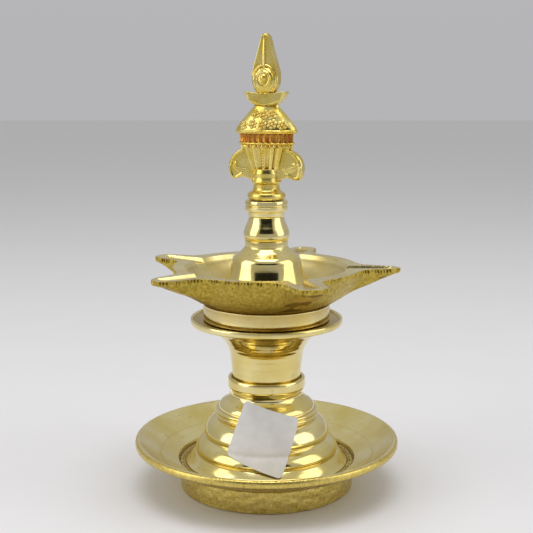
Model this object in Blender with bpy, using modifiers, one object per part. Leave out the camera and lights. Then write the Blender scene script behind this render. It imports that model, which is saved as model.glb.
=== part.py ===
"""A small brass standing oil lamp: five turned and cast sections screwed onto four studs.

Metres, +Z up. The origin is on the lamp's axis, at the bottom of the foot ring.
"""

import math

import bmesh
import bpy
from mathutils import Matrix, Vector

MM = 0.001

# fits between the sections
SEAT_GAP = 0.3 * MM
THREAD_CLEARANCE = 0.3 * MM

# base: foot ring, oil-catching dish, stepped cone and collar in one casting
BASE_HEIGHT = 47.5 * MM
DISH_RADIUS = 56.15 * MM
DISH_HEIGHT = 21.1 * MM
DISH_FLOOR_HEIGHT = 12.3 * MM
DISH_WALL = 2.0 * MM
DISH_RIM_WIDTH = 1.9 * MM
CONE_FOOT_RADIUS = 34.6 * MM
FOOT_SPREAD = 2.2 * MM
FOOT_RING_WIDTH = 3.0 * MM
GROOVE_WIDTH = 3.6 * MM
GROOVE_DEPTH = 1.6 * MM
NECK_RADIUS = 15.2 * MM
NECK_DEPTH = 7.3 * MM
COLLAR_WALL = 1.6 * MM
COLLAR_DEPTH = 4.5 * MM
RECESS_DEPTH = 2.3 * MM
BASE_WALL = 2.8 * MM
BASE_BOSS_WALL = 4.2 * MM
BASE_BOSS_LENGTH = 14.2 * MM

# cup: the middle section, with the drip plate round its top
CUP_HEIGHT = 26.7 * MM
CUP_FOOT_RADIUS = 14.5 * MM
CUP_FOOT_BAND = 1.1 * MM
CUP_WAIST_DEPTH = 0.15 * MM
CUP_SHOULDER_RADIUS = 17.6 * MM
CUP_SHOULDER_HEIGHT = 17.3 * MM
PLATE_MARGIN = 5.35 * MM
PLATE_EDGE = 2.4 * MM
PLATE_LIP = 0.85 * MM
PLATE_LIP_WIDTH = 0.9 * MM
PLATE_ROUND = 0.4 * MM

# wick bowl with five beaks
BOWL_FOOT_RADIUS = 26.7 * MM
BOWL_FOOT_HEIGHT = 6.7 * MM
BOWL_FOOT_WALL = 2.6 * MM
BOWL_HEIGHT = 22.2 * MM
BOWL_FLOOR_HEIGHT = 14.2 * MM
BOWL_FLOOR_WALL = 2.8 * MM
BOWL_FLOOR_MARGIN = 1.1 * MM
BOWL_RIM_RADIUS = 38.9 * MM
BOWL_RIM_LEDGE = 4.7 * MM
BOWL_RIM_WALL = 2.0 * MM
BOWL_RIM_TUCK = 0.3 * MM
BOWL_BOSS_WALL = 4.0 * MM
COVE_DEPTH = 0.9 * MM
COVE_HEIGHT = 1.0 * MM
VALLEY_STEP = 14.0
BEAK_REACH = 56.0 * MM
BEAK_ANGLES = (-4.0, 70.0, 150.0, 218.0, 289.0)
BEAK_WIDTHS = (0.95, 1.0, 1.0, 1.0, 1.18)
WICK_GROOVE_RADIUS = 3.3 * MM
WICK_GROOVE_DEPTH = 1.7 * MM
WICK_GROOVE_STOP = 4.0 * MM
WICK_GROOVE_LEAD = 5.0 * MM
WICK_GROOVE_TILT = 2.5

# upper stem: bell, bulb and collar
STEM_HEIGHT = 35.5 * MM
BELL_RADIUS = 18.9 * MM
BELL_HEIGHT = 16.1 * MM
BELL_WALL = 2.5 * MM
BELL_BOSS_WALL = 3.4 * MM
BELL_LIP = 0.7 * MM
STEM_RING_RADIUS = 9.0 * MM
BULB_RADIUS = 9.6 * MM
STEM_NECK_RADIUS = 7.3 * MM
STEM_COLLAR_RADIUS = 8.85 * MM
STEM_COLLAR_DEPTH = 4.4 * MM
STEM_NECK_DEPTH = 6.7 * MM
BULB_FOOT_RISE = 2.8 * MM
STEM_EASE = 0.3 * MM

# finial: a flattened pot with leaves, a crescent and a flame
FINIAL_HEIGHT = 67.2 * MM
FINIAL_TURN = -20.0
FINIAL_FOOT_RADIUS = 7.9 * MM
FINIAL_NECK_RADIUS = 5.6 * MM
FINIAL_NECK_HEIGHT = 9.6 * MM
FINIAL_FOOT_HEIGHT = 2.9 * MM
FINIAL_RING_WIDTH = 0.5 * MM
LEAF_SPAN = 32.2 * MM
LEAF_RISE = 10.8 * MM
LEAF_THICKNESS = 5.0 * MM
POT_RADIUS = 13.2 * MM
POT_FLATNESS = 0.45
POT_HEIGHT = 28.4 * MM
POT_OVERLAP = 0.6 * MM
CRESCENT_SPAN = 18.0 * MM
CRESCENT_HEIGHT = 5.9 * MM
CRESCENT_ROOT = 3.0 * MM
FLAME_WIDTH = 11.2 * MM
FLAME_THICKNESS = 5.6 * MM
FLAME_BOSS_RADIUS = 4.1 * MM

# threaded studs: radius, length held in the section below, length held in the section above
LOWER_THREAD_RADIUS = 5.0 * MM
LOWER_STUD_BELOW = 10.0 * MM
LOWER_STUD_ABOVE = 9.0 * MM
BOWL_THREAD_RADIUS = 5.0 * MM
BOWL_STUD_BELOW = 9.0 * MM
BOWL_STUD_ABOVE = 7.2 * MM
STEM_THREAD_RADIUS = 4.0 * MM
STEM_STUD_ABOVE = 9.0 * MM
STUD_END_GAP = 0.7 * MM
FINIAL_THREAD_RADIUS = 3.0 * MM
FINIAL_STUD_BELOW = 7.4 * MM
FINIAL_STUD_ABOVE = 7.0 * MM
STUD_CHAMFER = 0.6 * MM
BORE_RUNOUT = 0.5 * MM

# paper label on the front of the cone
LABEL_SIZE = 25.0 * MM
LABEL_THICKNESS = 0.3 * MM
LABEL_TURN = 20.0
LABEL_PLACE = 0.514
LABEL_SHIFT = -1.5 * MM
LABEL_GAP = 0.4 * MM

TURNED_STEPS = 44
SMALL_STEPS = 32
SHARP_ANGLE = 35.0

# radii worked out from what they hold or surround
FOOT_RADIUS = CONE_FOOT_RADIUS + FOOT_SPREAD
DISH_FLOOR_RADIUS = CONE_FOOT_RADIUS + GROOVE_WIDTH
RECESS_RADIUS = CUP_FOOT_RADIUS + SEAT_GAP
COLLAR_RADIUS = RECESS_RADIUS + COLLAR_WALL
PLATE_RADIUS = BOWL_FOOT_RADIUS + PLATE_MARGIN
BOWL_MOUTH_RADIUS = BOWL_RIM_RADIUS - BOWL_RIM_LEDGE
BOWL_FLOOR_RADIUS = BELL_RADIUS + BOWL_FLOOR_MARGIN
WICK_GROOVE_END = BEAK_REACH - WICK_GROOVE_STOP

# heights in the base, then each seat worked out from the sections below it
GROOVE_HEIGHT = DISH_FLOOR_HEIGHT - GROOVE_DEPTH
NECK_HEIGHT = BASE_HEIGHT - NECK_DEPTH
COLLAR_FOOT_HEIGHT = BASE_HEIGHT - COLLAR_DEPTH
BASE_SEAT = BASE_HEIGHT - RECESS_DEPTH
CUP_SEAT = BASE_SEAT + SEAT_GAP
PLATE_FLOOR = CUP_SEAT + CUP_HEIGHT
BOWL_SEAT = PLATE_FLOOR + SEAT_GAP
BOWL_FLOOR = BOWL_SEAT + BOWL_FLOOR_HEIGHT
STEM_SEAT = BOWL_FLOOR + SEAT_GAP
STEM_TOP = STEM_SEAT + STEM_HEIGHT
FINIAL_SEAT = STEM_TOP + SEAT_GAP

# the bell's stud stops short of the end of the stud under the bowl
STEM_STUD_BELOW = BOWL_FLOOR_HEIGHT - BOWL_STUD_ABOVE - STUD_END_GAP

# The cone's outer steps: share of the way out from the neck, share of the way down to the groove.
CONE_STEPS = (
    (0.06, 0.05), (0.21, 0.13), (0.27, 0.20), (0.34, 0.25), (0.34, 0.30), (0.30, 0.34),
    (0.39, 0.37), (0.52, 0.45), (0.58, 0.52), (0.59, 0.58), (0.55, 0.63), (0.59, 0.67),
    (0.68, 0.70), (0.75, 0.75), (0.78, 0.80), (0.76, 0.84), (0.86, 0.90),
)
# The dish's rolled rim, from its top round to its underside: in from the edge, down from the top.
DISH_RIM = ((0.7 * MM, 0.0), (0.0, 0.8 * MM), (0.0, 2.2 * MM), (1.2 * MM, 3.2 * MM))
# Half of a beak seen from above: degrees from its middle, share of its reach past the rim.
BEAK_OUTLINE = (
    (0.0, 1.0), (3.3, 0.97), (5.4, 0.88), (6.8, 0.66), (8.3, 0.41), (11.5, 0.22), (20.0, 0.0),
)
# The bowl's underside, from the foot to the rim: share of the way out, share of the way up
# between two beaks, and along a beak's middle.
BOWL_UNDERSIDE = ((0.25, 0.06, 0.26), (0.57, 0.33, 0.60), (0.86, 0.76, 0.90))
# The bowl's inside, from the mouth to the floor: share of the way in, share of the way down.
BOWL_INSIDE = ((0.17, 0.42), (0.50, 0.83))
# The bell, from its ring to its foot lip: share of the way out, share of the way down.
BELL_OUTLINE = ((0.14, 0.10), (0.44, 0.23), (0.57, 0.42), (0.66, 0.63), (0.79, 0.81))
# Half of the leaves under the pot: share of half the span, share of the rise over the neck's top.
LEAF_OUTLINE = (
    (0.0, -0.185), (0.35, -0.185), (0.44, -0.083), (0.54, 0.037), (0.65, 0.0), (0.81, -0.12),
    (0.93, -0.10), (0.99, 0.074), (1.0, 0.343), (0.97, 0.61), (0.86, 0.83), (0.66, 1.0), (0.0, 1.0),
)
# Half of the crescent: share of half its span, share of its height.
CRESCENT_OUTLINE = ((0.58, 0.17), (0.72, 0.44), (0.92, 0.68), (1.0, 1.0), (0.66, 0.88))
# Half of the flame: share of half its width, share of the way from the crescent to the tip.
FLAME_OUTLINE = (
    (0.84, 0.0), (0.97, 0.07), (1.0, 0.20), (0.94, 0.32), (0.80, 0.46), (0.60, 0.62),
    (0.40, 0.80), (0.26, 0.95), (0.12, 1.0),
)
# The pot, from its top to its foot: share of its radius, share of its height.
POT_OUTLINE = (
    (0.0, 1.0), (0.40, 1.0), (0.50, 0.93), (0.66, 0.86), (0.82, 0.78), (0.95, 0.70),
    (1.0, 0.63), (0.91, 0.60), (0.90, 0.50), (0.81, 0.46), (0.66, 0.26), (0.52, 0.10),
    (0.40, 0.02), (0.0, 0.0),
)


def clear_scene():
    for obj in list(bpy.data.objects):
        bpy.data.objects.remove(obj)


def new_collection(name):
    collection = bpy.data.collections.new(name)
    bpy.context.scene.collection.children.link(collection)
    return collection


def new_material(name, color, metallic, roughness):
    material = bpy.data.materials.new(name)
    material.use_nodes = True
    shader = material.node_tree.nodes["Principled BSDF"]
    shader.inputs["Base Color"].default_value = (*color, 1.0)
    shader.inputs["Metallic"].default_value = metallic
    shader.inputs["Roughness"].default_value = roughness
    material.diffuse_color = (*color, 1.0)
    return material


def new_object(name, mesh, collection, material=None):
    obj = bpy.data.objects.new(name, mesh)
    collection.objects.link(obj)
    if material:
        mesh.materials.append(material)
    return obj


def stand_on(obj, parent, height):
    """Parents obj and puts its origin this high on the axis, measured from the lamp's foot."""
    obj.parent = parent
    base = parent
    below = 0.0
    while base:
        below += base.location.z
        base = base.parent
    obj.location = (0.0, 0.0, height - below)


def make_helper(obj):
    obj.hide_render = True
    obj.display_type = "WIRE"


def claim_primitive(name, collection):
    """Names the primitive just added and moves it to this collection."""
    obj = bpy.context.object
    obj.name = name
    obj.data.name = name
    for other in list(obj.users_collection):
        other.objects.unlink(obj)
    collection.objects.link(obj)
    return obj


def add_boolean(obj, other, operation, solver="EXACT"):
    modifier = obj.modifiers.new(other.name, "BOOLEAN")
    modifier.operation = operation
    modifier.solver = solver
    modifier.object = other


def between(start, end, share):
    return start + (end - start) * share


def smooth_rounds(mesh):
    mesh.shade_smooth()
    mesh.set_sharp_from_angle(angle=math.radians(SHARP_ANGLE))


def turned(name, outline, collection, steps, material=None, closed=True):
    """A solid of revolution. The outline of (radius, height) runs down its outer side."""
    mesh = bpy.data.meshes.new(name)
    count = len(outline)
    edges = [(i, (i + 1) % count) for i in range(count if closed else count - 1)]
    mesh.from_pydata([(radius, 0.0, height) for radius, height in outline], edges, [])
    obj = new_object(name, mesh, collection, material)
    screw = obj.modifiers.new("turned", "SCREW")
    screw.axis = "Z"
    screw.angle = math.tau
    screw.steps = steps
    screw.render_steps = steps
    screw.use_merge_vertices = True
    screw.merge_threshold = 0.00001
    return obj


def cone_outline():
    """The cone's outer steps from the neck down to its foot in the groove."""
    points = [(NECK_RADIUS, NECK_HEIGHT)]
    for out, down in CONE_STEPS:
        points.append(
            (
                between(NECK_RADIUS, CONE_FOOT_RADIUS, out),
                between(NECK_HEIGHT, GROOVE_HEIGHT, down),
            )
        )
    points.append((CONE_FOOT_RADIUS, GROOVE_HEIGHT))
    return points


def cone_radius(height):
    """The cone's outer radius at a height, straight between its outline's points."""
    points = cone_outline()
    for (radius_a, high), (radius_b, low) in zip(points, points[1:]):
        if low <= height <= high and high > low:
            return between(radius_a, radius_b, (high - height) / (high - low))
    return NECK_RADIUS if height > NECK_HEIGHT else CONE_FOOT_RADIUS


def hollow_of_cone():
    """The hollow under the cone, upwards from the foot ring, a wall's thickness inside the steps."""
    top = BASE_SEAT - BASE_BOSS_LENGTH + BASE_WALL
    bottom = GROOVE_HEIGHT + BASE_WALL
    points = []
    for share in (0.0, 0.2, 0.4, 0.6, 0.8, 1.0):
        height = between(bottom, top, share)
        narrowest = min(cone_radius(height + step * BASE_WALL) for step in (-0.5, 0.0, 0.5, 1.0))
        points.append((narrowest - BASE_WALL, height))
    return points


def dish_rise(share):
    """How far the dish has risen at this share of its width: steeper towards the rim."""
    return 0.45 * share + 0.55 * share**2.2


def base_outline():
    bore = LOWER_THREAD_RADIUS + THREAD_CLEARANCE
    recess = RECESS_RADIUS
    rim_inward, rim_down = DISH_RIM[-1]
    foot_height = DISH_FLOOR_HEIGHT - DISH_WALL
    boss = bore + BASE_BOSS_WALL
    boss_end = BASE_SEAT - BASE_BOSS_LENGTH
    foot_inside = FOOT_RADIUS - FOOT_RING_WIDTH
    lip = COLLAR_WALL / 2
    points = [
        (bore, BASE_SEAT),
        (recess, BASE_SEAT),
        (recess, BASE_HEIGHT - lip),
        (recess + lip * 0.5, BASE_HEIGHT),
        (COLLAR_RADIUS - lip * 0.5, BASE_HEIGHT),
        (COLLAR_RADIUS, BASE_HEIGHT - lip),
        (COLLAR_RADIUS, COLLAR_FOOT_HEIGHT),
    ]
    points += cone_outline()
    points.append((between(CONE_FOOT_RADIUS, DISH_FLOOR_RADIUS, 0.8), GROOVE_HEIGHT))
    for share in (0.0, 0.3, 0.6, 0.82, 1.0):
        points.append(
            (
                between(DISH_FLOOR_RADIUS, DISH_RADIUS - DISH_RIM_WIDTH, share),
                between(DISH_FLOOR_HEIGHT, DISH_HEIGHT, dish_rise(share)),
            )
        )
    points += [(DISH_RADIUS - inward, DISH_HEIGHT - down) for inward, down in DISH_RIM]
    for share in (0.65, 0.3, 0.0):
        points.append(
            (
                between(FOOT_RADIUS, DISH_RADIUS - rim_inward, share),
                between(foot_height, DISH_HEIGHT - rim_down, dish_rise(share)),
            )
        )
    points += [
        (FOOT_RADIUS, 0.0),
        (foot_inside, 0.0),
        (foot_inside, GROOVE_HEIGHT - BASE_WALL),
    ]
    points += hollow_of_cone()
    ceiling = points[-1][1]
    points += [(boss, ceiling), (boss, boss_end), (bore, boss_end)]
    return points


def make_base(parts, material):
    return turned("base", base_outline(), parts, TURNED_STEPS, material)


def make_stud(name, radius, below, above, seat, parent, parts, material):
    """A stud across a seat: its origin is at the seat, on the axis."""
    bpy.ops.mesh.primitive_cylinder_add(vertices=SMALL_STEPS, radius=radius, depth=below + above)
    stud = claim_primitive(name, parts)
    stud.data.transform(Matrix.Translation((0.0, 0.0, (above - below) / 2)))
    stud.data.materials.append(material)
    smooth_rounds(stud.data)
    chamfer = stud.modifiers.new("chamfer", "BEVEL")
    chamfer.width = STUD_CHAMFER
    chamfer.segments = 1
    chamfer.limit_method = "ANGLE"
    chamfer.angle_limit = math.radians(SHARP_ANGLE)
    stand_on(stud, parent, seat)
    return stud


def cup_outline():
    bore_low = LOWER_THREAD_RADIUS + THREAD_CLEARANCE
    bore_high = BOWL_THREAD_RADIUS + THREAD_CLEARANCE
    step = LOWER_STUD_ABOVE + BORE_RUNOUT
    lip_top = CUP_HEIGHT + PLATE_LIP
    edge_low = lip_top - PLATE_EDGE
    waist = CUP_FOOT_RADIUS - CUP_WAIST_DEPTH
    points = [
        (bore_high, CUP_HEIGHT),
        (PLATE_RADIUS - PLATE_LIP_WIDTH, CUP_HEIGHT),
        (PLATE_RADIUS - PLATE_LIP_WIDTH * 0.7, lip_top),
        (PLATE_RADIUS - PLATE_ROUND * 0.5, lip_top),
        (PLATE_RADIUS, lip_top - PLATE_ROUND),
        (PLATE_RADIUS, edge_low + PLATE_ROUND),
        (PLATE_RADIUS - PLATE_ROUND * 1.5, edge_low),
    ]
    # the flare under the plate, flat at the plate and steep at the shoulder
    for share in (0.35, 0.68, 0.9):
        points.append(
            (
                between(PLATE_RADIUS, CUP_SHOULDER_RADIUS, share),
                between(edge_low, CUP_SHOULDER_HEIGHT, share**2.4),
            )
        )
    for share in (0.0, 0.15, 0.3, 0.55, 0.88):
        points.append(
            (
                between(CUP_SHOULDER_RADIUS, waist, 1.0 - (1.0 - share) ** 2.6),
                CUP_SHOULDER_HEIGHT * (1.0 - share),
            )
        )
    points += [
        (CUP_FOOT_RADIUS, CUP_FOOT_BAND),
        (CUP_FOOT_RADIUS, 0.0),
        (bore_low, 0.0),
    ]
    # the bore has a step only where the two threads differ
    if bore_low != bore_high:
        points += [(bore_low, step), (bore_high, step)]
    return points


def make_cup(parent, parts, material):
    cup = turned("cup_stem", cup_outline(), parts, TURNED_STEPS, material)
    stand_on(cup, parent, CUP_SEAT)
    return cup


def bowl_stations():
    """Angles round the bowl with how far each reaches past the rim, 0 to 1."""
    stations = []
    count = len(BEAK_ANGLES)
    for index, middle in enumerate(BEAK_ANGLES):
        width = BEAK_WIDTHS[index]
        left = [(middle - turn * width, reach) for turn, reach in reversed(BEAK_OUTLINE[1:])]
        right = [(middle + turn * width, reach) for turn, reach in BEAK_OUTLINE]
        stations += left + right
        following = BEAK_ANGLES[(index + 1) % count] + (360.0 if index == count - 1 else 0.0)
        start = stations[-1][0]
        end = following - BEAK_OUTLINE[-1][0] * BEAK_WIDTHS[(index + 1) % count]
        pieces = max(2, round((end - start) / VALLEY_STEP))
        for piece in range(1, pieces):
            stations.append((between(start, end, piece / pieces), 0.0))
    return stations


def bowl_section(reach):
    """One closed radial section of the bowl: (radius, height above its foot)."""
    bore_low = BOWL_THREAD_RADIUS + THREAD_CLEARANCE
    bore_high = STEM_THREAD_RADIUS + THREAD_CLEARANCE
    step = BOWL_STUD_ABOVE + SEAT_GAP + BORE_RUNOUT / 2
    rim = between(BOWL_RIM_RADIUS, BEAK_REACH, reach)
    cove = BOWL_FOOT_RADIUS - COVE_DEPTH
    cove_height = BOWL_FOOT_HEIGHT + COVE_HEIGHT
    rim_low = BOWL_HEIGHT - BOWL_RIM_WALL
    ceiling = BOWL_FLOOR_HEIGHT - BOWL_FLOOR_WALL
    boss = bore_low + BOWL_BOSS_WALL
    points = [(bore_high, BOWL_FLOOR_HEIGHT), (BOWL_FLOOR_RADIUS, BOWL_FLOOR_HEIGHT)]
    for inward, down in reversed(BOWL_INSIDE):
        points.append(
            (
                between(BOWL_MOUTH_RADIUS, BOWL_FLOOR_RADIUS, inward),
                between(BOWL_HEIGHT, BOWL_FLOOR_HEIGHT, down),
            )
        )
    points += [
        (BOWL_MOUTH_RADIUS, BOWL_HEIGHT),
        (rim, BOWL_HEIGHT),
        (rim - BOWL_RIM_TUCK, rim_low),
    ]
    for out, plain, beak in reversed(BOWL_UNDERSIDE):
        rise = between(plain, beak, reach)
        points.append((between(cove, rim, out), between(cove_height, rim_low, rise)))
    points += [
        (cove, cove_height),
        (BOWL_FOOT_RADIUS, BOWL_FOOT_HEIGHT),
        (BOWL_FOOT_RADIUS, 0.0),
        (BOWL_FOOT_RADIUS - BOWL_FOOT_WALL, 0.0),
        (BOWL_FOOT_RADIUS - BOWL_FOOT_WALL, ceiling - BOWL_FLOOR_WALL),
        (BOWL_FOOT_RADIUS - BOWL_FOOT_WALL * 2.0, ceiling),
        (boss, ceiling),
        (boss, 0.0),
        (bore_low, 0.0),
        (bore_low, step),
        (bore_high, step),
    ]
    return points


def make_wick_groove(number, angle, bowl, cutters):
    """A rounded cutter along the top of one beak, shallower towards the tip."""
    start = BOWL_MOUTH_RADIUS - WICK_GROOVE_LEAD
    length = WICK_GROOVE_END - start
    bpy.ops.mesh.primitive_cylinder_add(vertices=SMALL_STEPS, radius=WICK_GROOVE_RADIUS, depth=length)
    cutter = claim_primitive(f"wick_groove_{number}", cutters)
    middle = (start + WICK_GROOVE_END) / 2
    lift = BOWL_HEIGHT + WICK_GROOVE_RADIUS - WICK_GROOVE_DEPTH
    lay_down = Matrix.Rotation(math.radians(90.0 - WICK_GROOVE_TILT), 4, "Y")
    place = Matrix.Translation((middle, 0.0, lift))
    cutter.data.transform(Matrix.Rotation(math.radians(angle), 4, "Z") @ place @ lay_down)
    cutter.parent = bowl
    make_helper(cutter)
    add_boolean(bowl, cutter, "DIFFERENCE")


def make_bowl(parent, parts, cutters, material):
    """A loft of closed radial sections, because the beaks make the sections unlike."""
    work = bmesh.new()
    rings = []
    for angle, reach in bowl_stations():
        turn = Matrix.Rotation(math.radians(angle), 3, "Z")
        section = [turn @ Vector((radius, 0.0, height)) for radius, height in bowl_section(reach)]
        rings.append([work.verts.new(point) for point in section])
    count = len(rings[0])
    for ring, following in zip(rings, rings[1:] + rings[:1]):
        for i in range(count):
            j = (i + 1) % count
            work.faces.new((ring[i], ring[j], following[j], following[i]))
    bmesh.ops.recalc_face_normals(work, faces=work.faces)
    mesh = bpy.data.meshes.new("wick_bowl")
    work.to_mesh(mesh)
    work.free()
    smooth_rounds(mesh)
    bowl = new_object("wick_bowl", mesh, parts, material)
    stand_on(bowl, parent, BOWL_SEAT)
    for number, angle in enumerate(BEAK_ANGLES, start=1):
        make_wick_groove(number, angle, bowl, cutters)
    return bowl


def stem_outline():
    bore_low = STEM_THREAD_RADIUS + THREAD_CLEARANCE
    bore_high = FINIAL_THREAD_RADIUS + THREAD_CLEARANCE
    step = STEM_STUD_ABOVE + BORE_RUNOUT + SEAT_GAP
    boss = bore_low + BELL_BOSS_WALL
    collar_low = STEM_HEIGHT - STEM_COLLAR_DEPTH
    neck_low = STEM_HEIGHT - STEM_NECK_DEPTH
    bulb_low = BELL_HEIGHT + BULB_FOOT_RISE
    bell_hollow = BELL_HEIGHT - 2.2 * BELL_WALL
    points = [
        (bore_high, STEM_HEIGHT),
        (STEM_COLLAR_RADIUS - STEM_EASE, STEM_HEIGHT),
        (STEM_COLLAR_RADIUS, STEM_HEIGHT - STEM_EASE),
        (STEM_COLLAR_RADIUS, collar_low),
        (STEM_NECK_RADIUS + STEM_EASE, collar_low - STEM_EASE),
        (STEM_NECK_RADIUS, neck_low),
        (between(STEM_NECK_RADIUS, BULB_RADIUS, 0.18), between(neck_low, bulb_low, 0.17)),
        (between(STEM_NECK_RADIUS, BULB_RADIUS, 0.8), between(neck_low, bulb_low, 0.51)),
        (BULB_RADIUS, between(neck_low, bulb_low, 0.75)),
        (BULB_RADIUS - STEM_EASE * 0.5, between(neck_low, bulb_low, 0.93)),
        (STEM_RING_RADIUS - STEM_EASE, bulb_low),
        (STEM_RING_RADIUS, bulb_low - STEM_EASE),
        (STEM_RING_RADIUS, BELL_HEIGHT),
    ]
    for out, down in BELL_OUTLINE:
        points.append((between(STEM_RING_RADIUS, BELL_RADIUS, out), BELL_HEIGHT * (1.0 - down)))
    points += [
        (BELL_RADIUS, BELL_LIP),
        (BELL_RADIUS, 0.0),
        (BELL_RADIUS - BELL_WALL, 0.0),
        (between(STEM_RING_RADIUS, BELL_RADIUS, 0.57) - BELL_WALL, bell_hollow * 0.6),
        (between(STEM_RING_RADIUS, BELL_RADIUS, 0.40) - BELL_WALL, bell_hollow),
        (boss, bell_hollow),
        (boss, 0.0),
        (bore_low, 0.0),
        (bore_low, step),
        (bore_high, step),
    ]
    return points


def make_stem(parent, parts, material):
    stem = turned("upper_stem", stem_outline(), parts, SMALL_STEPS, material)
    stand_on(stem, parent, STEM_SEAT)
    return stem


def leaf_outline():
    """Right-hand half of the two leaves under the pot: (half width, height)."""
    return [
        (LEAF_SPAN / 2 * out, FINIAL_NECK_HEIGHT + LEAF_RISE * up) for out, up in LEAF_OUTLINE
    ]


def flame_outline():
    """Right-hand half of the crescent and flame above the pot: (half width, height)."""
    foot = FINIAL_NECK_HEIGHT + POT_HEIGHT
    horn = CRESCENT_SPAN / 2
    start = foot + CRESCENT_HEIGHT
    points = [(0.0, foot - CRESCENT_ROOT), (horn * CRESCENT_OUTLINE[0][0], foot - CRESCENT_ROOT)]
    points += [(horn * out, foot + CRESCENT_HEIGHT * up) for out, up in CRESCENT_OUTLINE]
    points += [
        (FLAME_WIDTH / 2 * out, between(start, FINIAL_HEIGHT, up)) for out, up in FLAME_OUTLINE
    ]
    return points


def make_plate(name, half, thickness, finial, cutters):
    """A flat outline in the finial's plane, mirrored about its axis, with eased edges."""
    curve = bpy.data.curves.new(name, "CURVE")
    curve.dimensions = "2D"
    curve.fill_mode = "BOTH"
    curve.extrude = thickness / 2
    other = [(-x, z) for x, z in reversed(half) if x > 0.0]
    outline = list(half) + other
    spline = curve.splines.new("POLY")
    spline.points.add(len(outline) - 1)
    for point, (x, z) in zip(spline.points, outline):
        point.co = (x, z, 0.0, 1.0)
    spline.use_cyclic_u = True
    flat = bpy.data.objects.new(name + "_curve", curve)
    cutters.objects.link(flat)
    flat.rotation_euler = (math.radians(90), 0.0, 0.0)
    bpy.context.view_layer.update()
    graph = bpy.context.evaluated_depsgraph_get()
    mesh = bpy.data.meshes.new_from_object(flat.evaluated_get(graph))
    mesh.transform(flat.matrix_world)
    bpy.data.objects.remove(flat)
    work = bmesh.new()
    work.from_mesh(mesh)
    bmesh.ops.remove_doubles(work, verts=work.verts, dist=0.00001)
    bmesh.ops.recalc_face_normals(work, faces=work.faces)
    work.to_mesh(mesh)
    work.free()
    plate = new_object(name, mesh, cutters)
    plate.parent = finial
    make_helper(plate)
    return plate


def make_pot(finial, cutters):
    """The pot: a turned shape flattened front to back."""
    low = FINIAL_NECK_HEIGHT - POT_OVERLAP
    high = FINIAL_NECK_HEIGHT + POT_HEIGHT
    outline = [(POT_RADIUS * out, between(low, high, up)) for out, up in POT_OUTLINE]
    pot = turned("finial_pot", outline, cutters, SMALL_STEPS, closed=False)
    pot.scale = (1.0, POT_FLATNESS, 1.0)
    pot.parent = finial
    make_helper(pot)
    return pot


def make_flame_boss(finial, cutters):
    foot = FINIAL_NECK_HEIGHT + POT_HEIGHT
    bpy.ops.mesh.primitive_uv_sphere_add(segments=24, ring_count=12, radius=FLAME_BOSS_RADIUS)
    boss = claim_primitive("finial_flame_boss", cutters)
    boss.location = (0.0, 0.0, between(foot, FINIAL_HEIGHT, 0.36))
    boss.parent = finial
    make_helper(boss)
    return boss


def make_finial(parent, parts, cutters, material):
    neck = FINIAL_NECK_RADIUS
    foot = FINIAL_FOOT_RADIUS
    # the neck runs up inside the pot, so that the two join
    outline = [
        (0.0, FINIAL_NECK_HEIGHT * 1.4),
        (neck * 0.9, FINIAL_NECK_HEIGHT * 1.4),
        (neck, FINIAL_NECK_HEIGHT * 0.85),
        (neck + FINIAL_RING_WIDTH, FINIAL_NECK_HEIGHT * 0.75),
        (neck, FINIAL_NECK_HEIGHT * 0.69),
        (neck, FINIAL_FOOT_HEIGHT * 1.2),
        (foot * 0.86, FINIAL_FOOT_HEIGHT),
        (foot, FINIAL_FOOT_HEIGHT * 0.72),
        (foot, FINIAL_FOOT_HEIGHT * 0.28),
        (foot * 0.93, 0.0),
        (0.0, 0.0),
    ]
    finial = turned("finial", outline, parts, SMALL_STEPS, material, closed=False)
    stand_on(finial, parent, FINIAL_SEAT)
    finial.rotation_euler = (0.0, 0.0, math.radians(FINIAL_TURN))
    shapes = [
        make_pot(finial, cutters),
        make_plate("finial_leaves", leaf_outline(), LEAF_THICKNESS, finial, cutters),
        make_plate("finial_flame", flame_outline(), FLAME_THICKNESS, finial, cutters),
        make_flame_boss(finial, cutters),
    ]
    for shape in shapes:
        add_boolean(finial, shape, "UNION", "MANIFOLD")
    depth = FINIAL_STUD_ABOVE + BORE_RUNOUT
    bpy.ops.mesh.primitive_cylinder_add(
        vertices=SMALL_STEPS, radius=FINIAL_THREAD_RADIUS + THREAD_CLEARANCE, depth=depth * 2
    )
    bore = claim_primitive("finial_bore", cutters)
    bore.parent = finial
    make_helper(bore)
    add_boolean(finial, bore, "DIFFERENCE", "MANIFOLD")
    return finial


def make_label(parent, parts, material):
    """A square of paper wrapped round the cone, turned a little, clear of the cone's steps."""
    slope = (CONE_FOOT_RADIUS - COLLAR_RADIUS) / (COLLAR_FOOT_HEIGHT - GROOVE_HEIGHT)

    def straight(height):
        return COLLAR_RADIUS + (COLLAR_FOOT_HEIGHT - height) * slope

    bulge = max(radius - straight(height) for radius, height in cone_outline())
    middle = between(GROOVE_HEIGHT, COLLAR_FOOT_HEIGHT, LABEL_PLACE)
    work = bmesh.new()
    bmesh.ops.create_grid(work, x_segments=10, y_segments=10, size=LABEL_SIZE / 2)
    turn = Matrix.Rotation(math.radians(-LABEL_TURN), 3, "Z")
    for vert in work.verts:
        flat = turn @ vert.co
        height = middle + flat.y / math.hypot(1.0, slope)
        radius = straight(height) + max(bulge, 0.0) + LABEL_GAP
        angle = math.radians(-90) + (flat.x + LABEL_SHIFT) / radius
        vert.co = (radius * math.cos(angle), radius * math.sin(angle), height)
    bmesh.ops.recalc_face_normals(work, faces=work.faces)
    mesh = bpy.data.meshes.new("price_sticker")
    work.to_mesh(mesh)
    work.free()
    label = new_object("price_sticker", mesh, parts, material)
    thick = label.modifiers.new("thickness", "SOLIDIFY")
    thick.thickness = LABEL_THICKNESS
    thick.offset = 1.0
    stand_on(label, parent, 0.0)
    return label


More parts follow.
